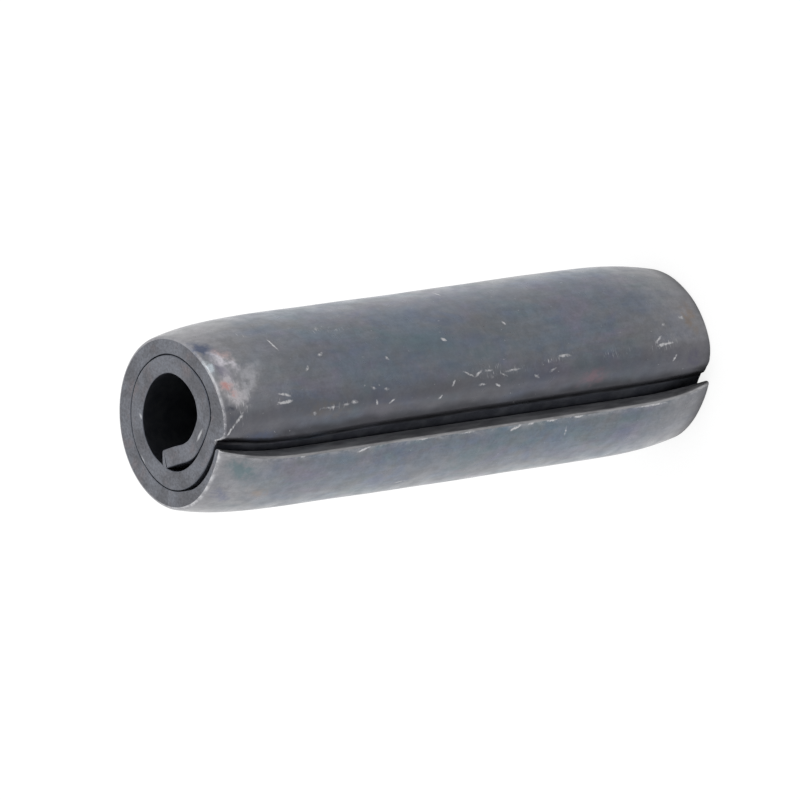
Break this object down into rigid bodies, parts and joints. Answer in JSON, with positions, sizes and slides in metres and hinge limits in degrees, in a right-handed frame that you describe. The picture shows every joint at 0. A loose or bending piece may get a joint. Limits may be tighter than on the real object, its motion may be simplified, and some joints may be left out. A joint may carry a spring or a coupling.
{
  "type": "coiled spring pin",
  "caption": "Hollow coiled spring pin rolled from spring steel strip, with swaged lead-in ends and an open seam down its side, pressed into a drilled hole to locate or hold parts.",
  "frame": {"origin": "middle of the lower end face, on the pin's axis", "axes": "+Z runs along the pin from the lower end to the upper end; +X points at the strip's outer edge, where the seam opens; seen from above the strip runs counterclockwise from its inner tip outwards"},
  "size_m": [0.0126, 0.0126, 0.04],
  "materials": {
    "blued_spring_steel": "black oxide on rolled spring steel, satin, with cut edges left matt grey"
  },
  "bodies": {
    "root": {"coiled_spring_pin": "blued_spring_steel"}
  },
  "joints": []
}
